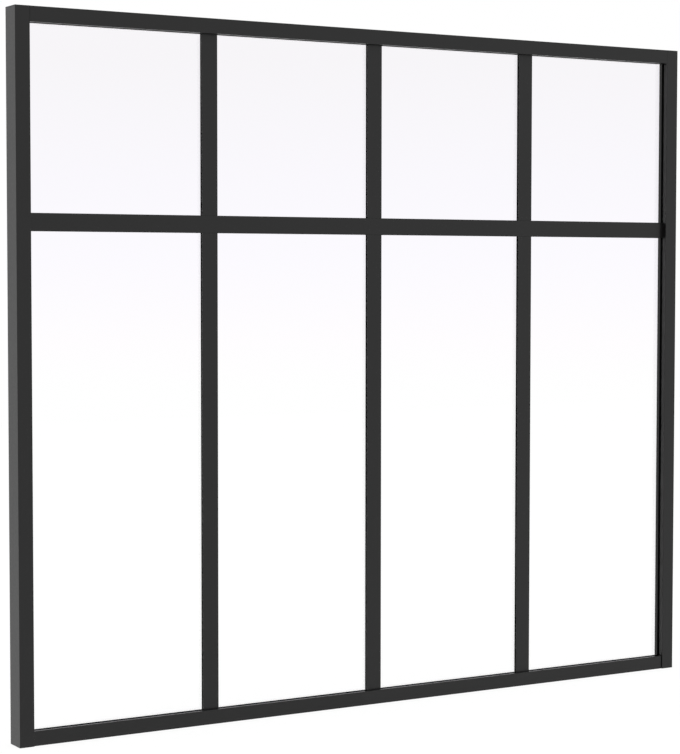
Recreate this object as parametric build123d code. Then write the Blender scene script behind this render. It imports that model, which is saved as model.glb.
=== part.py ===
from build123d import *
import os

# Overall size in mm. X runs along the window, Y from its front to its back, Z up.
# The origin is under the middle of the bottom rail.
window_width = 1230.0
window_height = 1080.0
frame_depth = 36.0

# The outer frame is an extrusion: a wide, shallow front chamber with a narrow leg behind it.
# The bottom rail is a little narrower, and its face lies behind the faces of the stiles.
chamber_width = 22.9
chamber_depth = 8.5
leg_width = 10.5
frame_wall = 1.5
edge_radius = 0.4
bottom_rail_width = 22.1
bottom_rail_setback = 1.9
joint_gap = 0.3

# A stop is the small lip at the back of a leg or a stem, which a glazing bead clips behind.
stop_height = 1.5
stop_length = 1.8

# The bars are T sections. They stand against the back of the front chambers.
mullion_count = 3
transom_drop = 311.3
bar_face = 26.6
bar_flange = 1.6
bar_stem = 3.0
bar_depth = 18.0
bar_radius = 0.3
halving_clearance = 0.1

# Each pane lies between a front seal and four hollow beads, on two setting blocks.
# The lip of the seal shows as a thin line beyond the faces in front of it.
glass_thickness = 4.0
glass_clearance = 2.0
seal_width = 6.0
seal_depth = 3.7
frame_seal_lip = 0.5
bar_seal_lip = 0.1
bead_wall = 1.2
frame_bead_width = 7.5
frame_bead_slope = 5.6
bar_bead_width = 8.0
bar_bead_edge = 1.5
block_length = 30.0

# Depths behind the front face of the frame that follow from the sizes above.
flange_back = chamber_depth + bar_flange
glass_front = flange_back + seal_depth
glass_back = glass_front + glass_thickness
bar_back = chamber_depth + bar_depth
bar_stop_front = bar_back - stop_length
frame_stop_front = frame_depth - stop_length
halving_depth = (flange_back + bar_back) / 2

# Places that follow from them. The bars divide the clear opening into equal bays.
half_width = window_width / 2
half_face = bar_face / 2
half_stem = bar_stem / 2
transom_height = window_height - transom_drop
mullion_pitch = (window_width - 2 * chamber_width) / (mullion_count + 1)
mullion_places = [
    (number - (mullion_count - 1) / 2) * mullion_pitch
    for number in range(mullion_count)
]


def upright_plane(x, z):
    """A plane for sections that run upwards: across is +X and depth is +Y."""
    return Plane(origin=(x, -frame_depth / 2, z), x_dir=(1, 0, 0), z_dir=(0, 0, 1))


def level_plane(x, z):
    """A plane for sections that run towards -X: across is +Z and depth is +Y."""
    return Plane(origin=(x, -frame_depth / 2, z), x_dir=(0, 0, 1), z_dir=(-1, 0, 0))


def block(x_range, depth_range, z_range):
    """A box given by its X range, its depths behind the front face, and its Z range."""
    size_x = x_range[1] - x_range[0]
    size_y = depth_range[1] - depth_range[0]
    size_z = z_range[1] - z_range[0]
    corner = (x_range[0], depth_range[0] - frame_depth / 2, z_range[0])
    return Pos(*corner) * Box(size_x, size_y, size_z, align=Align.MIN)


def outline(points):
    """A flat face inside a closed run of straight lines."""
    return make_face(Polyline(*points, close=True))


def rectangle(across, depths):
    """A rectangle in a section, given by its range across and its range of depths."""
    centre = Pos((across[0] + across[1]) / 2, (depths[0] + depths[1]) / 2)
    return centre * Rectangle(across[1] - across[0], depths[1] - depths[0])


def frame_outline(width, setback):
    """The outside of the frame extrusion, from its outer face inwards."""
    section = outline([
        (0, setback),
        (width, setback),
        (width, chamber_depth),
        (leg_width, chamber_depth),
        (leg_width, frame_stop_front),
        (leg_width + stop_height, frame_stop_front),
        (leg_width + stop_height, frame_depth),
        (0, frame_depth),
    ])
    front_corners = section.vertices().filter_by(lambda corner: corner.Y < setback + edge_radius)
    back_corners = section.vertices().filter_by(lambda corner: corner.Y > frame_depth - edge_radius)
    return fillet(front_corners + back_corners, edge_radius)


def frame_section(width, setback):
    """The frame extrusion with its two chambers."""
    front = (setback + frame_wall, chamber_depth - frame_wall)
    section = frame_outline(width, setback)
    leg = (chamber_depth, frame_depth - frame_wall)
    section -= rectangle((frame_wall, width - frame_wall), front)
    section -= rectangle((frame_wall, leg_width - frame_wall), leg)
    return section


def bar_section():
    """The T section of a mullion or the transom."""
    section = rectangle((-half_face, half_face), (chamber_depth, flange_back))
    section += rectangle((-half_stem, half_stem), (chamber_depth, bar_back))
    face_corners = section.vertices().filter_by(lambda corner: corner.Y < chamber_depth + bar_radius)
    return fillet(face_corners, bar_radius)


def bar_stops():
    """The stops at the back of a bar, one each side of its stem."""
    reach = half_stem + stop_height
    return rectangle((-reach, reach), (bar_stop_front, bar_back))


def bead_outline(foot, width, slope_start, stop_front):
    """A bead that stands on a leg or stem, faces the glass and slopes down to its stop."""
    return outline([
        (foot, glass_back),
        (foot + width, glass_back),
        (foot + width, slope_start),
        (foot + stop_height, stop_front),
        (foot, stop_front),
    ])


def bead_for(on_frame):
    """The outline of the bead that suits the frame or a bar."""
    if on_frame:
        slope_start = frame_stop_front - frame_bead_slope
        return bead_outline(leg_width, frame_bead_width, slope_start, frame_stop_front)
    return bead_outline(half_stem, bar_bead_width, glass_back + bar_bead_edge, bar_stop_front)


def hollow(section):
    """The section with its inside taken out, as an extruded bead is."""
    return section - offset(section, -bead_wall, kind=Kind.INTERSECTION)


def make_left_stile():
    section = frame_section(chamber_width, 0)
    return extrude(upright_plane(-half_width, 0) * section, window_height)


def make_rail(width, setback):
    """A rail along the sill, whose ends are coped to the form of the stiles."""
    rail = extrude(level_plane(half_width, 0) * frame_section(width, setback), window_width)
    stile_form = offset(frame_outline(chamber_width, 0), joint_gap, kind=Kind.INTERSECTION)
    cope = extrude(upright_plane(-half_width, -1) * stile_form, width + 2)
    rail -= cope
    rail -= mirror(cope, about=Plane.YZ)
    return rail


def make_mullion(x):
    """A mullion keeps the back half of its stem where the transom crosses it.

    Its stops end short of the deeper beads that stand on the rails.
    """
    bottom = leg_width + joint_gap
    stop_bottom = bottom + frame_bead_width
    mullion = extrude(upright_plane(x, bottom) * bar_section(), window_height - 2 * bottom)
    mullion += extrude(upright_plane(x, stop_bottom) * bar_stops(), window_height - 2 * stop_bottom)
    across = (x - half_face - 1, x + half_face + 1)
    face_cut = half_face + halving_clearance
    stem_cut = half_stem + halving_clearance
    mullion -= block(across, (0, flange_back), (transom_height - face_cut, transom_height + face_cut))
    mullion -= block(across, (0, halving_depth), (transom_height - stem_cut, transom_height + stem_cut))
    return mullion


def make_transom():
    """The transom keeps its whole face and the front half of its stem at each mullion.

    Its stops end short of the deeper beads that stand on the stiles.
    """
    reach = half_width - leg_width - joint_gap
    stop_reach = reach - frame_bead_width
    transom = extrude(level_plane(reach, transom_height) * bar_section(), 2 * reach)
    transom += extrude(level_plane(stop_reach, transom_height) * bar_stops(), 2 * stop_reach)
    height = (transom_height - half_face, transom_height + half_face)
    stem_cut = half_stem + halving_clearance
    stop_cut = stem_cut + stop_height
    stop_depth = bar_stop_front - halving_clearance
    for x in mullion_places:
        transom -= block((x - stem_cut, x + stem_cut), (halving_depth, frame_depth), height)
        transom -= block((x - stop_cut, x + stop_cut), (stop_depth, frame_depth), height)
    return transom


def bay_edges(bay):
    """The two upright lines a bay lies between, each with whether the frame is there."""
    left_is_frame = bay == 0
    right_is_frame = bay == mullion_count
    left = -half_width if left_is_frame else mullion_places[bay - 1]
    right = half_width if right_is_frame else mullion_places[bay]
    return left, left_is_frame, right, right_is_frame


def row_edges(row):
    """The two level lines a row lies between, each with whether the frame is there."""
    if row == "upper":
        return transom_height, False, window_height, True
    return 0.0, True, transom_height, False


def bay_rectangle(bay, row, from_frame, from_bar):
    """The X and Z ranges of a bay, kept back from the frame's outside and the bars' middles."""
    left, left_is_frame, right, right_is_frame = bay_edges(bay)
    bottom, bottom_is_frame, top, top_is_frame = row_edges(row)
    x_range = (
        left + (from_frame if left_is_frame else from_bar),
        right - (from_frame if right_is_frame else from_bar),
    )
    z_range = (
        bottom + (from_frame if bottom_is_frame else from_bar),
        top - (from_frame if top_is_frame else from_bar),
    )
    return x_range, z_range


def pane_rectangle(bay, row):
    """A pane keeps its clearance to the legs and stems round it."""
    return bay_rectangle(bay, row, leg_width + glass_clearance, half_stem + glass_clearance)


def make_pane(bay, row):
    x_range, z_range = pane_rectangle(bay, row)
    return block(x_range, (glass_front, glass_back), z_range)


def sight_rectangle(bay, row, past_frame, past_bar):
    """The part of a bay that the faces round it leave open, made smaller or, if negative, larger."""
    x_range, z_range = bay_rectangle(bay, row, chamber_width + past_frame, half_face + past_bar)
    if row == "lower":
        z_range = (bottom_rail_width + past_frame, z_range[1])
    return x_range, z_range


def make_seal(bay, row):
    """The front seal of a pane. Its lip shows beyond the faces, and it is deeper at the frame."""
    open_x, open_z = sight_rectangle(bay, row, frame_seal_lip, bar_seal_lip)
    outer_x, outer_z = sight_rectangle(bay, row, -seal_width, -seal_width)
    deep_x, deep_z = sight_rectangle(bay, row, -seal_width, bar_seal_lip)
    seal = block(outer_x, (flange_back, glass_front), outer_z)
    seal += block(deep_x, (chamber_depth, flange_back), deep_z)
    return seal - block(open_x, (0, frame_depth), open_z)


def level_bead(x_range, z, on_frame, upwards):
    """A bead along the bottom or top of a bay, and its form filled in."""
    length = x_range[1] - x_range[0]
    plane = level_plane(x_range[1], 0)
    form = extrude(plane * bead_for(on_frame), length)
    bead = extrude(plane * hollow(bead_for(on_frame)), length)
    if not upwards:
        form = mirror(form, about=Plane.XY)
        bead = mirror(bead, about=Plane.XY)
    return Pos(0, 0, z) * bead, Pos(0, 0, z) * form


def upright_bead(z_range, x, on_frame, rightwards):
    """A bead up one side of a bay."""
    bead = extrude(upright_plane(0, z_range[0]) * hollow(bead_for(on_frame)), z_range[1] - z_range[0])
    if not rightwards:
        bead = mirror(bead, about=Plane.YZ)
    return Pos(x, 0, 0) * bead


def make_beads(bay, row):
    """Four beads hold a pane. The upright ones are coped to the form of the level ones."""
    left, left_is_frame, right, right_is_frame = bay_edges(bay)
    bottom, bottom_is_frame, top, top_is_frame = row_edges(row)
    x_range, z_range = bay_rectangle(bay, row, leg_width, half_stem)
    bottom_bead, bottom_form = level_bead(x_range, bottom, bottom_is_frame, True)
    top_bead, top_form = level_bead(x_range, top, top_is_frame, False)
    left_bead = upright_bead(z_range, left, left_is_frame, True) - bottom_form - top_form
    right_bead = upright_bead(z_range, right, right_is_frame, False) - bottom_form - top_form
    return Compound(children=[bottom_bead, top_bead, left_bead, right_bead])


def make_setting_blocks(row):
    """Two blocks under each pane carry its weight."""
    blocks = []
    for bay in range(mullion_count + 1):
        x_range, z_range = pane_rectangle(bay, row)
        for share in (0.25, 0.75):
            middle = x_range[0] + share * (x_range[1] - x_range[0])
            span = (middle - block_length / 2, middle + block_length / 2)
            height = (z_range[0] - glass_clearance, z_range[0])
            blocks.append(block(span, (glass_front, glass_back), height))
    return Compound(children=blocks)


def save(name, shape):
    shape.label = name
    export_step(shape, os.path.join("parts", name + ".step"))


os.makedirs("parts", exist_ok=True)
left_stile = make_left_stile()
save("left_stile", left_stile)
save("right_stile", mirror(left_stile, about=Plane.YZ))
save("bottom_rail", make_rail(bottom_rail_width, bottom_rail_setback))
top_rail = mirror(make_rail(chamber_width, 0), about=Plane.XY.offset(window_height / 2))
save("top_rail", top_rail)
for number, x in enumerate(mullion_places, start=1):
    save("mullion_" + str(number), make_mullion(x))
save("transom", make_transom())
for row in ("upper", "lower"):
    for bay in range(mullion_count + 1):
        suffix = "_" + str(bay + 1)
        save(row + "_pane" + suffix, make_pane(bay, row))
        save(row + "_seal" + suffix, make_seal(bay, row))
        save(row + "_beads" + suffix, make_beads(bay, row))
    save(row + "_setting_blocks", make_setting_blocks(row))
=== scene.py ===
# %% [markdown]
# # A workshop-style interior window
#
# The window is already modelled as CAD: a black frame, three mullions, a transom, eight panes
# with their seals, glazing beads and setting blocks. This lesson loads that model and gives every
# part the finish of the real product. It makes what plain CAD solids lack: the ground edges of the
# panes, the soft round lips of the gaskets and the plugs in the ends of the stiles. Then it
# photographs the window in a white studio.
#
# The first cell loads the imported model. Its parts arrive as Blender objects in metres, each
# already in its place, and they are neither moved nor reshaped.

# %% Load the imported model
import math

import bmesh
import bpy
from mathutils import Matrix, Vector


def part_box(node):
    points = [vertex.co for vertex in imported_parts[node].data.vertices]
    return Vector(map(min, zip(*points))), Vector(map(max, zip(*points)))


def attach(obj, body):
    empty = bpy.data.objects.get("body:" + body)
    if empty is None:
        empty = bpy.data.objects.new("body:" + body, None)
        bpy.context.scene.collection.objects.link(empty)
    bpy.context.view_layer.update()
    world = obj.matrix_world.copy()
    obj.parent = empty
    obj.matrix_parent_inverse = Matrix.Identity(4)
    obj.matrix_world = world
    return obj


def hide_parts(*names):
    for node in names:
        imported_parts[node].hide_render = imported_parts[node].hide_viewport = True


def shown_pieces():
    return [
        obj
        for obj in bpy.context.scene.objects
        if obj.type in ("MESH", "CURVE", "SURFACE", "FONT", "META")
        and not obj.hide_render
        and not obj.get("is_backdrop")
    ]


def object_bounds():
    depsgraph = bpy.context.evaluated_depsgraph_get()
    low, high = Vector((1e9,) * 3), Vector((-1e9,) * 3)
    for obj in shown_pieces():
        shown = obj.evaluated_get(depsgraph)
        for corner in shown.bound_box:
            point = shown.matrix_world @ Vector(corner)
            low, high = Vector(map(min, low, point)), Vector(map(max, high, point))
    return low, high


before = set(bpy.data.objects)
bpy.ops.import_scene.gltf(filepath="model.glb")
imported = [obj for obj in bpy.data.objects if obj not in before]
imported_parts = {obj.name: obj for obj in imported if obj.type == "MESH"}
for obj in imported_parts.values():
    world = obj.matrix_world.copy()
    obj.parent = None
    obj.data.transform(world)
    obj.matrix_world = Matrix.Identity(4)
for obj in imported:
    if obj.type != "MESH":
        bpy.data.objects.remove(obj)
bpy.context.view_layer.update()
MM = 0.001

# %% [markdown]
# ## The camera
#
# The photograph was taken from the left of the window, a little above its middle, with a long
# lens that keeps its uprights almost parallel. A camera could be aimed by eye, or with a Track
# To constraint. Here it gets the place and angles that were solved from the straight edges of
# the frame, because then each edge falls within a fraction of a pixel of the real one.
#
# The focal length was solved in pixels. The picture is upright, and Blender measures the sensor
# along the longer side, so the lens in millimetres is that length in picture heights times the
# width of the sensor.

# %% Make the camera
PICTURE_HEIGHT = 754
FOCAL_PIXELS = 2102.1
SENSOR_MM = 36.0
TURN_RIGHT = 0.541791
LOOK_DOWN = 0.050644
ROLL = 0.000804
CAMERA_PLACE = Vector((-1.783593, -2.866209, 0.698583))
FARTHEST_SEEN = 60.0

camera_data = bpy.data.cameras.new("camera")
camera_data.sensor_width = SENSOR_MM
camera_data.lens = FOCAL_PIXELS / PICTURE_HEIGHT * SENSOR_MM
camera_data.clip_end = FARTHEST_SEEN
camera = bpy.data.objects.new("camera", camera_data)
turned = Matrix.Rotation(-TURN_RIGHT, 4, "Z")
raised = Matrix.Rotation(math.pi / 2 - LOOK_DOWN, 4, "X")
rolled = Matrix.Rotation(ROLL, 4, "Z")
camera.matrix_world = Matrix.Translation(CAMERA_PLACE) @ turned @ raised @ rolled
bpy.context.scene.collection.objects.link(camera)
bpy.context.scene.camera = camera
print("The lens is", round(camera_data.lens, 1), "mm long")

# %% [markdown]
# ## Helpers for materials
#
# A material in Blender is a small graph of nodes. It can be clicked together in the editor or
# written down, and a written one can be read and repeated. Four helpers keep the writing short.
# One turns a hex colour, as a painter would quote it, into the linear numbers that a renderer
# needs. One adds a node with its settings, its incoming links and its plain values, and one
# starts an empty material. The last gives the scale of a noise from a size in millimetres, because
# a noise counts its waves in a metre.

# %% Colours, nodes and scales
def linear(hex_colour):
    """An sRGB hex colour as linear red, green, blue and alpha."""
    digits = hex_colour.lstrip("#")
    colour = []
    for start in (0, 2, 4):
        level = int(digits[start:start + 2], 16) / 255
        colour.append(level / 12.92 if level <= 0.04045 else ((level + 0.055) / 1.055) ** 2.4)
    return colour + [1.0]


def add(tree, kind, links=None, values=None, **settings):
    """Adds a node: links are the inputs that other nodes feed, values are the plain ones."""
    node = tree.nodes.new(kind)
    for name, value in settings.items():
        setattr(node, name, value)
    for key, value in (values or {}).items():
        node.inputs[key].default_value = value
    for key, socket in (links or {}).items():
        tree.links.new(socket, node.inputs[key])
    return node


def new_material(name):
    """An empty material and its node tree."""
    material = bpy.data.materials.new(name)
    material.use_nodes = True
    material.node_tree.nodes.clear()
    return material, material.node_tree


def waves_per_metre(size_mm):
    """The scale that makes the grains of a noise about this large."""
    return 1000.0 / size_mm


print("#808080 is", round(linear("#808080")[0], 3), "in linear light")

# %% [markdown]
# ## The powder coat
#
# The frame, the bars and the beads are aluminium extrusions with a satin black powder coat. The
# powder is sprayed on dry and melts in an oven into a skin about 0.08 mm thick. The skin doesn't
# level out quite flat: it keeps a low orange peel with lumps a few millimetres across, and a
# finer grain of half a millimetre. The eye sees an even black with a soft, slightly broken sheen.
#
# The paint hides the metal, so it is a dielectric: metallic stays at zero. A photograph of the
# paint could be mapped on it, but two layers of noise need no picture and no unwrapping, and they
# are the same size on every part, because they are measured in millimetres on the object. The
# larger one also makes the roughness vary a little, as it does where the skin is thinner. Nearly
# all of a noise lies between 0.3 and 0.7, so that range is spread over the two roughnesses.

# %% Satin black powder coat
PEEL_MM = 4.0
PEEL_HEIGHT = 0.02 * MM
GRAIN_MM = 0.5
GRAIN_HEIGHT = 0.01 * MM
GLOSSIEST, DULLEST = 0.32, 0.38
NOISE_LOW, NOISE_HIGH = 0.3, 0.7
PAINT_REFLECTION = 0.38


def powder_coat(name, colour, thin_colour):
    """Paint on extruded aluminium, with orange peel, a fine grain and an uneven sheen."""
    material, tree = new_material(name)
    place = add(tree, "ShaderNodeTexCoord").outputs["Object"]
    lumps = add(tree, "ShaderNodeTexNoise", {"Vector": place},
                {"Scale": waves_per_metre(PEEL_MM), "Detail": 2.0}).outputs["Fac"]
    grain = add(tree, "ShaderNodeTexNoise", {"Vector": place},
                {"Scale": waves_per_metre(GRAIN_MM), "Detail": 3.0}).outputs["Fac"]
    wide = add(tree, "ShaderNodeBump", {"Height": lumps},
               {"Strength": 0.25, "Distance": PEEL_HEIGHT})
    fine = add(tree, "ShaderNodeBump", {"Height": grain, "Normal": wide.outputs["Normal"]},
               {"Strength": 0.3, "Distance": GRAIN_HEIGHT})
    sheen = add(tree, "ShaderNodeMapRange", {"Value": lumps},
                {"From Min": NOISE_LOW, "From Max": NOISE_HIGH,
                 "To Min": GLOSSIEST, "To Max": DULLEST})
    tone = add(tree, "ShaderNodeMix", {"Factor": lumps},
               {"A": linear(colour), "B": linear(thin_colour)}, data_type="RGBA")
    paint = add(tree, "ShaderNodeBsdfPrincipled",
                {"Base Color": tone.outputs["Result"], "Roughness": sheen.outputs["Result"],
                 "Normal": fine.outputs["Normal"]},
                {"IOR": 1.5, "Specular IOR Level": PAINT_REFLECTION})
    add(tree, "ShaderNodeOutputMaterial", {"Surface": paint.outputs["BSDF"]})
    return material


frame_paint = powder_coat("satin_black_powder_coat", "#0a0a0a", "#0e0e0e")
print("Made", frame_paint.name)

# %% [markdown]
# ## The glass
#
# The panes are clear float glass, 4 mm thick. Float glass is poured on molten tin, so both faces
# are as flat as a liquid, and nothing shows on them but a faint reflection. Only a trace of iron
# in it tints it green, and that shows where one looks along the pane through its edge.
#
# A thin sheet could be faked with a transparent material, but the panes have their real
# thickness, so they can be real glass: it refracts, and it takes up a little light along the
# way. The absorption is a volume, so a pane looks clear from the front and green through its edge.
# A very low, long wave in the bump is what is left of the rollers that carried the ribbon.

# %% Clear float glass
ROLLER_WAVE_MM = 180.0
ROLLER_HEIGHT = 0.02 * MM
GLASS_IOR = 1.52
GLASS_REFLECTION = 0.35
GREEN_DENSITY = 2.5


def float_glass(name):
    """Clear glass with a faint green body."""
    material, tree = new_material(name)
    place = add(tree, "ShaderNodeTexCoord").outputs["Object"]
    wave = add(tree, "ShaderNodeTexNoise", {"Vector": place},
               {"Scale": waves_per_metre(ROLLER_WAVE_MM), "Detail": 0.0}).outputs["Fac"]
    flatness = add(tree, "ShaderNodeBump", {"Height": wave},
                   {"Strength": 0.1, "Distance": ROLLER_HEIGHT})
    glass = add(tree, "ShaderNodeBsdfPrincipled", {"Normal": flatness.outputs["Normal"]},
                {"Base Color": linear("#ffffff"), "Roughness": 0.0, "IOR": GLASS_IOR,
                 "Transmission Weight": 1.0, "Specular IOR Level": GLASS_REFLECTION})
    body = add(tree, "ShaderNodeVolumeAbsorption", None,
               {"Color": linear("#eef8f2"), "Density": GREEN_DENSITY})
    add(tree, "ShaderNodeOutputMaterial",
        {"Surface": glass.outputs["BSDF"], "Volume": body.outputs["Volume"]})
    return material


window_glass = float_glass("clear_float_glass")
print("Made", window_glass.name)

# %% [markdown]
# Where a pane is cut, its edge is ground, so that it has no sharp splinters. A ground edge is the
# same glass with a rough skin of tiny pits, about a third of a millimetre apart, and it looks
# frosted. So it gets a material of its own, with a high roughness and a little more green.

# %% Ground glass edge
PIT_MM = 0.3
PIT_DEPTH = 0.05 * MM


def ground_edge(name):
    """The frosted edge of a pane."""
    material, tree = new_material(name)
    place = add(tree, "ShaderNodeTexCoord").outputs["Object"]
    pits = add(tree, "ShaderNodeTexNoise", {"Vector": place},
               {"Scale": waves_per_metre(PIT_MM), "Detail": 2.0}).outputs["Fac"]
    frost = add(tree, "ShaderNodeBump", {"Height": pits}, {"Strength": 0.6, "Distance": PIT_DEPTH})
    glass = add(tree, "ShaderNodeBsdfPrincipled", {"Normal": frost.outputs["Normal"]},
                {"Base Color": linear("#f2fbf6"), "Roughness": 0.45, "IOR": GLASS_IOR,
                 "Transmission Weight": 1.0})
    add(tree, "ShaderNodeOutputMaterial", {"Surface": glass.outputs["BSDF"]})
    return material


ground_glass = ground_edge("ground_glass_edge")
print("Made", ground_glass.name)

# %% [markdown]
# ## The rubber and the plastic
#
# The gaskets are extruded EPDM rubber, filled with so much soot that they are as good as black and
# have no sheen: the die leaves a fine velvet with grains of a tenth of a millimetre. That is too
# fine to show, so it is drawn four times as coarse. The setting blocks under the panes and the
# plugs in the ends of the stiles are moulded polypropylene, with the slightly shinier, pebbled skin
# of a cheap mould.
#
# Both are the same kind of thing, a dark dielectric with a fine bump, so one function makes
# them, and what differs is named in its arguments. The rubber has no specular reflection at
# all, because the soot in its open skin swallows the light that a smooth skin would reflect. That
# matters most where it is seen almost edge on, as it always is here: any sheen would turn it grey.

# %% Black rubber and black polypropylene
UNEVENNESS = 0.05


def dark_polymer(name, colour, grain_mm, grain_height, roughness, reflection):
    """A moulded or extruded black polymer with a fine grain."""
    material, tree = new_material(name)
    place = add(tree, "ShaderNodeTexCoord").outputs["Object"]
    grain = add(tree, "ShaderNodeTexNoise", {"Vector": place},
                {"Scale": waves_per_metre(grain_mm), "Detail": 2.0}).outputs["Fac"]
    skin = add(tree, "ShaderNodeBump", {"Height": grain},
               {"Strength": 0.5, "Distance": grain_height})
    uneven = add(tree, "ShaderNodeMapRange", {"Value": grain},
                 {"To Min": roughness - UNEVENNESS, "To Max": roughness + UNEVENNESS})
    surface = add(tree, "ShaderNodeBsdfPrincipled",
                  {"Normal": skin.outputs["Normal"], "Roughness": uneven.outputs["Result"]},
                  {"Base Color": linear(colour), "IOR": 1.5, "Specular IOR Level": reflection})
    add(tree, "ShaderNodeOutputMaterial", {"Surface": surface.outputs["BSDF"]})
    return material


gasket_rubber = dark_polymer("extruded_epdm_rubber", "#0a0a0a", grain_mm=0.4,
                             grain_height=0.01 * MM, roughness=0.9, reflection=0.0)
block_plastic = dark_polymer("moulded_polypropylene", "#0c0c0c", grain_mm=0.6,
                             grain_height=0.02 * MM, roughness=0.5, reflection=0.4)
print("Made", gasket_rubber.name, "and", block_plastic.name)

# %% [markdown]
# ## Finishes for the CAD parts
#
# The names of the nodes say what each part is, so a small table from a word in the name to a
# finish is enough. All that isn't glass, rubber or plastic is painted aluminium.

# %% Give each CAD part its finish
FINISHES = {"pane": window_glass, "seal": gasket_rubber, "blocks": block_plastic}
cad_parts = {part.name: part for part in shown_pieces()}
for name, part in cad_parts.items():
    words = [word for word in FINISHES if word in name]
    part.data.materials.clear()
    part.data.materials.append(FINISHES[words[0]] if words else frame_paint)
print(len(cad_parts), "parts have a finish")

# %% [markdown]
# ## The panes
#
# A real pane only touches its gasket and its beads. The CAD pane lies exactly face to face with
# them, and where two surfaces share one place a renderer can't tell which is in front: the glass
# gets speckled. Its edges are also sharp, while real ones are ground to a small arris.
#
# So each pane is made anew: a cube is scaled to the box of the CAD pane, less a twentieth of a
# millimetre of air all round, and the bevel operator grinds its twelve edges. The two broad
# faces, which look squarely to the front and the back, stay clear, and the others get the frosted
# material.

# %% Cut and grind the panes
AIR = 0.05 * MM
ARRIS = 0.5 * MM
SQUARE_ON = 0.9


def new_piece(name, bm, materials, node=None):
    """Turns a bmesh into a piece, which stands for a CAD node where one is given."""
    mesh = bpy.data.meshes.new(name)
    bm.to_mesh(mesh)
    bm.free()
    piece = bpy.data.objects.new(name, mesh)
    bpy.context.scene.collection.objects.link(piece)
    for material in materials:
        mesh.materials.append(material)
    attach(piece, "root")
    if node:
        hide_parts(node)
    return piece


def ground_pane(node, name):
    """A pane of float glass with ground edges."""
    low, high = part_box(node)
    size = Vector(high) - Vector(low) - 2 * Vector((AIR, AIR, AIR))
    bm = bmesh.new()
    bmesh.ops.create_cube(bm, size=1.0)
    bmesh.ops.scale(bm, vec=size, verts=bm.verts)
    bmesh.ops.translate(bm, vec=(Vector(low) + Vector(high)) / 2, verts=bm.verts)
    bmesh.ops.bevel(bm, geom=bm.edges, offset=ARRIS, segments=1, profile=0.5,
                    affect="EDGES", material=-1)
    for face in bm.faces:
        face.material_index = 0 if abs(face.normal.y) > SQUARE_ON else 1
    new_piece(name, bm, (window_glass, ground_glass), node)
    return size


ROWS = ("upper", "lower")
BAYS = (1, 2, 3, 4)
for row in ROWS:
    for bay in BAYS:
        size = ground_pane(f"{row}_pane_{bay}", f"{row}_ground_pane_{bay}")
        print(row, bay, "pane of", [round(side / MM, 1) for side in size], "mm")

# %% [markdown]
# ## The gaskets
#
# Each pane is pressed against a rubber gasket. From the front it shows as a thin black line
# between the metal and the glass. The real one has a soft lip with a round nose, and it is cut
# square in the corners and pushed into its groove. The CAD seal has the right size, with sharp
# edges.
#
# The lip could be drawn as a curve with a bevel profile, but a curve turns its profile at the
# corners, and the gasket has to follow two kinds of rebate: it is deeper at the frame than at
# the bars. So each gasket starts as a copy of its CAD seal. A CAD part arrives as loose triangles,
# so the copy's doubled corners are merged first, and then faces that meet at less than a hundredth
# of a radian are joined into one. That leaves only the real edges.

# %% Merge a copy of a CAD part
NEAR = 0.01 * MM
FLAT = 0.01


def merged_copy(node):
    """A bmesh of a CAD part with its triangles merged into whole faces."""
    bm = bmesh.new()
    bm.from_mesh(cad_parts[node].data)
    bmesh.ops.remove_doubles(bm, verts=bm.verts, dist=NEAR)
    bmesh.ops.dissolve_limit(bm, angle_limit=FLAT, verts=bm.verts, edges=bm.edges)
    return bm


sharp_seal = merged_copy("upper_seal_1")
print("The first seal has", len(sharp_seal.faces), "whole faces")

# %% [markdown]
# The edges to round are the sharp ones in front that run round the opening. They could be listed
# by hand, but the seals differ in size, so they are found by their place: they lie on the outline
# of the faces that look into the opening.

# %% Find the edges of a lip
X_AND_Z = (0, 2)


def opening_of(bm):
    """The lowest and highest X and Z of the faces that look into the opening."""
    centre = sum((vert.co for vert in bm.verts), Vector()) / len(bm.verts)
    corners = []
    for face in bm.faces:
        inwards = face.normal.dot(centre - face.calc_center_median()) > 0
        if inwards and abs(face.normal.y) < FLAT:
            corners += [vert.co for vert in face.verts]
    return [(min(c[axis] for c in corners), max(c[axis] for c in corners)) for axis in X_AND_Z]


def on_rim(point, x_range, z_range):
    """Whether a point lies on the outline of the opening."""
    inside_x = x_range[0] - NEAR < point.x < x_range[1] + NEAR
    inside_z = z_range[0] - NEAR < point.z < z_range[1] + NEAR
    on_x = min(abs(point.x - x) for x in x_range) < NEAR
    on_z = min(abs(point.z - z) for z in z_range) < NEAR
    return inside_x and inside_z and (on_x or on_z)


def lip_edges(bm):
    """The sharp edges in front, along the opening."""
    x_range, z_range = opening_of(bm)
    back = max(vert.co.y for vert in bm.verts)
    chosen = []
    for edge in bm.edges:
        ends = [vert.co for vert in edge.verts]
        in_front = abs(ends[0].y - ends[1].y) < NEAR and ends[0].y < back - NEAR
        if in_front and edge.is_convex and all(on_rim(end, x_range, z_range) for end in ends):
            chosen.append(edge)
    return chosen


print("Its lip has", len(lip_edges(sharp_seal)), "sharp edges")
sharp_seal.free()

# %% [markdown]
# The bevel operator turns each of these edges into a quarter round. Four segments are enough for a
# radius of less than half a millimetre.

# %% Round the lips of the gaskets
LIP_RADIUS = 0.4 * MM


def lipped_gasket(node, name):
    """A rubber gasket with round lips, made from a merged copy of a CAD seal."""
    bm = merged_copy(node)
    edges = lip_edges(bm)
    bmesh.ops.bevel(bm, geom=edges, offset=LIP_RADIUS, segments=4, profile=0.5,
                    affect="EDGES", material=-1)
    gasket = new_piece(name, bm, (gasket_rubber,), node)
    return len(edges), len(gasket.data.polygons)


for row in ROWS:
    for bay in BAYS:
        counts = lipped_gasket(f"{row}_seal_{bay}", f"{row}_lipped_gasket_{bay}")
        print(row, bay, "edges rounded", counts[0], "faces", counts[1])

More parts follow.
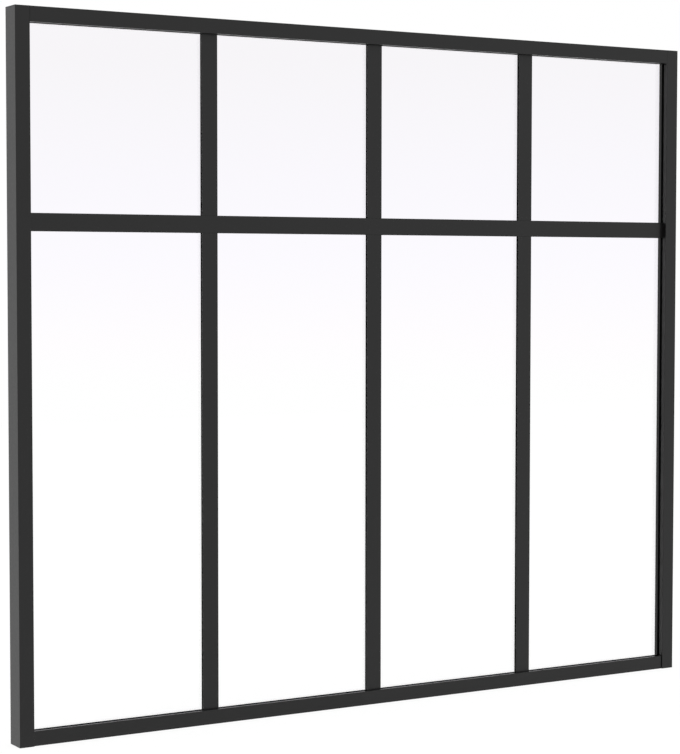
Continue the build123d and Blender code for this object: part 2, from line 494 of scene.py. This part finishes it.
# %% [markdown]
# ## The end plugs
#
# The stiles run the full height, so the two chambers of their extrusion come out open at both ends.
# Windows of this sort have them closed with small plastic plugs, pushed in until they are almost
# flush, so that no dirt falls in.
#
# Each plug is a block that fills its chamber. Its size could be copied from a drawing of the
# extrusion, but the stile itself knows better: a plane that cuts a copy of it leaves the outline
# and the rims of both chambers. All three are filled with a face. The largest is the outline's, and
# the corners of the others are those of the chambers.

# %% Measure the chambers of a stile
def chambers_of(node):
    """The lowest and highest corner of each chamber of an upright extrusion, at height nought."""
    low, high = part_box(node)
    bm = merged_copy(node)
    everything = bm.verts[:] + bm.edges[:] + bm.faces[:]
    bmesh.ops.bisect_plane(bm, geom=everything, plane_co=(Vector(low) + Vector(high)) / 2,
                           plane_no=(0, 0, 1), clear_inner=True, clear_outer=True)
    bmesh.ops.edgeloop_fill(bm, edges=bm.edges[:])
    chambers = []
    for face in sorted(bm.faces, key=lambda face: face.calc_area())[:-1]:
        across = [vert.co.x for vert in face.verts]
        along = [vert.co.y for vert in face.verts]
        chambers.append((Vector((min(across), min(along), 0)),
                         Vector((max(across), max(along), 0))))
    bm.free()
    return chambers


for low, high in chambers_of("left_stile"):
    print("A chamber of", round((high - low).x / MM, 1), "by", round((high - low).y / MM, 1), "mm")

# %% [markdown]
# A cube is scaled to each chamber, less a little clearance all round, and moved to just inside the
# end of the stile. One bevel rounds the edges of all four plugs of a stile, which make one piece.

# %% Push in the end plugs
PLUG_DEPTH = 4.0 * MM
PLUG_RECESS = 0.2 * MM
PLUG_CLEARANCE = 0.07 * MM
PLUG_EDGE = 0.3 * MM


def add_plug(bm, chamber, foot):
    """Adds a block that fills a chamber from this height upwards."""
    low = chamber[0] + Vector((PLUG_CLEARANCE, PLUG_CLEARANCE, foot))
    high = chamber[1] + Vector((-PLUG_CLEARANCE, -PLUG_CLEARANCE, foot + PLUG_DEPTH))
    corners = bmesh.ops.create_cube(bm, size=1.0)["verts"]
    bmesh.ops.scale(bm, vec=high - low, verts=corners)
    bmesh.ops.translate(bm, vec=(low + high) / 2, verts=corners)


for side in ("left", "right"):
    stile = f"{side}_stile"
    low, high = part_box(stile)
    plugs = bmesh.new()
    for chamber in chambers_of(stile):
        add_plug(plugs, chamber, low[2] + PLUG_RECESS)
        add_plug(plugs, chamber, high[2] - PLUG_RECESS - PLUG_DEPTH)
    bmesh.ops.bevel(plugs, geom=plugs.edges[:], offset=PLUG_EDGE, segments=3, profile=0.5,
                    affect="EDGES", material=-1)
    print(stile, "has plugs with", len(plugs.faces), "faces")
    new_piece(f"{side}_end_plugs", plugs, (block_plastic,))

# %% [markdown]
# ## The floor
#
# The window stands in a white studio. A floor lit to a clean white would need so much light that
# the black paint would turn grey, so the white comes from the floor itself: to the camera, and
# to rays that metal or glass sends on, it is mostly a white glow. The rest of it is plain matt
# paint, which keeps the faint shadow at the foot of the frame. The paint is a little darker than
# white, so the glow is a little brighter, and the sum is white. To all other rays the floor is its
# paint alone, so it lights the window no more than a real floor would.

# %% White that glows to the camera
GLOW_SHARE = 0.85
GLOW_STRENGTH = 1.06


def seen_directly(tree):
    """One for camera, glossy and transmission rays, and nought for the others."""
    rays = add(tree, "ShaderNodeLightPath")
    seen = rays.outputs["Is Camera Ray"]
    for kind in ("Is Glossy Ray", "Is Transmission Ray"):
        seen = add(tree, "ShaderNodeMath", {0: seen, 1: rays.outputs[kind]},
                   operation="MAXIMUM").outputs["Value"]
    return seen


def studio_white(name):
    """White to the camera, with a share of matt paint that keeps shadows."""
    material, tree = new_material(name)
    matt = add(tree, "ShaderNodeBsdfDiffuse", None, {"Color": linear("#f4f4f4")})
    glow = add(tree, "ShaderNodeEmission", None,
               {"Color": linear("#ffffff"), "Strength": GLOW_STRENGTH})
    share = add(tree, "ShaderNodeMath", {0: seen_directly(tree)}, {1: GLOW_SHARE},
                operation="MULTIPLY")
    mixed = add(tree, "ShaderNodeMixShader", {"Fac": share.outputs["Value"],
                                              1: matt.outputs["BSDF"],
                                              2: glow.outputs["Emission"]})
    add(tree, "ShaderNodeOutputMaterial", {"Surface": mixed.outputs["Shader"]})
    return material


floor_white = studio_white("white_studio_floor")
print("Made", floor_white.name)

# %% [markdown]
# The floor could be a curved sweep that runs up into the wall, but both are white, so no edge
# between them would show, and one large square is enough. It lies half a millimetre below the
# frame, because surfaces in one place speckle.

# %% Lay the floor
FLOOR_HALF_SIZE = 6.0
FLOOR_GAP = 0.5 * MM

bm = bmesh.new()
bmesh.ops.create_grid(bm, x_segments=1, y_segments=1, size=FLOOR_HALF_SIZE)
bmesh.ops.translate(bm, verts=bm.verts, vec=(0, 0, -FLOOR_GAP))
floor_mesh = bpy.data.meshes.new("studio_floor")
bm.to_mesh(floor_mesh)
bm.free()
floor = bpy.data.objects.new("studio_floor", floor_mesh)
bpy.context.scene.collection.objects.link(floor)
floor_mesh.materials.append(floor_white)
floor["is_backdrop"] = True
print("The floor is", 2 * FLOOR_HALF_SIZE, "metres square")

# %% [markdown]
# ## The backdrop and the light
#
# Behind the window is an even white wall, and in the photograph the panes show it with a faint
# lavender towards the top. The wall is so far off that it can be the world itself. A world
# shader knows the direction of each ray, so a colour ramp over its height gives the wall its
# tint.

# %% Tint of the wall
WALL_TINTS = (
    (-0.057, "#ffffff"),
    (-0.033, "#fffdff"),
    (0.005, "#fcfaff"),
    (0.043, "#faf8fd"),
    (0.099, "#f7f5f8"),
)


def tinted_wall(tree):
    """The colour of the wall at the height that a ray points to."""
    direction = add(tree, "ShaderNodeTexCoord").outputs["Generated"]
    height = add(tree, "ShaderNodeSeparateXYZ", {"Vector": direction}).outputs["Z"]
    lowest, highest = WALL_TINTS[0][0], WALL_TINTS[-1][0]
    place = add(tree, "ShaderNodeMapRange", {"Value": height},
                {"From Min": lowest, "From Max": highest})
    ramp = add(tree, "ShaderNodeValToRGB", {"Fac": place.outputs["Result"]})
    for number, (level, colour) in enumerate(WALL_TINTS):
        where = (level - lowest) / (highest - lowest)
        new_stop = 0 < number < len(WALL_TINTS) - 1
        stops = ramp.color_ramp.elements
        stop = stops.new(where) if new_stop else stops[0 if number == 0 else -1]
        stop.color = linear(colour)
    return ramp.outputs["Color"]


world = bpy.data.worlds.new("white_studio")
world.use_nodes = True
tree = world.node_tree
tree.nodes.clear()
wall_tint = tinted_wall(tree)
print("The wall has", len(WALL_TINTS), "tints from the floor upwards")

# %% [markdown]
# Only the rays that have come through glass get the tint: beside the window the wall is plain
# white. To the rays that light the window, the world is the soft light of the room, a little
# weaker than the white that shows.

# %% White world
ROOM_LIGHT = 0.75

through_glass = add(tree, "ShaderNodeLightPath").outputs["Is Transmission Ray"]
wall = add(tree, "ShaderNodeMix", {"Factor": through_glass, "B": wall_tint},
           {"A": linear("#ffffff")}, data_type="RGBA")
shown = add(tree, "ShaderNodeBackground", {"Color": wall.outputs["Result"]}, {"Strength": 1.0})
room = add(tree, "ShaderNodeBackground", None,
           {"Color": linear("#ffffff"), "Strength": ROOM_LIGHT})
mixed = add(tree, "ShaderNodeMixShader", {"Fac": seen_directly(tree),
                                          1: room.outputs["Background"],
                                          2: shown.outputs["Background"]})
add(tree, "ShaderNodeOutputWorld", {"Surface": mixed.outputs["Shader"]})
bpy.context.scene.world = world
print("The world lights the room at", ROOM_LIGHT)

# %% [markdown]
# One large softbox hangs overhead, a little in front of the window. A small lamp would draw hard
# highlights on the paint, and the sun a hard shadow. This one is about as bright as the wall, so it
# only gives the floor a soft shadow.

# %% Softbox overhead
SOFTBOX_SIDE = 3.0
SOFTBOX_PLACE = (0.0, -0.5, 3.2)
SOFTBOX_WATTS = 30.0

softbox_data = bpy.data.lights.new("softbox", "AREA")
softbox_data.shape = "SQUARE"
softbox_data.size = SOFTBOX_SIDE
softbox_data.energy = SOFTBOX_WATTS
softbox = bpy.data.objects.new("softbox", softbox_data)
softbox.location = SOFTBOX_PLACE
bpy.context.scene.collection.objects.link(softbox)
print("The softbox gives", SOFTBOX_WATTS, "watts from", SOFTBOX_PLACE[2], "metres")

# %% [markdown]
# ## The view and the sizes
#
# The Standard view shows each colour as it is. Blender's default has a film curve, which suits a
# landscape with deep shadows and a bright sky, but would turn this white studio grey.

# %% Show colours as they are
bpy.context.scene.view_settings.view_transform = "Standard"
print("Colours are shown by the", bpy.context.scene.view_settings.view_transform, "view")

# %% [markdown]
# The last cell measures the box of what is seen.

# %% Measure what is seen
low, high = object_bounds()
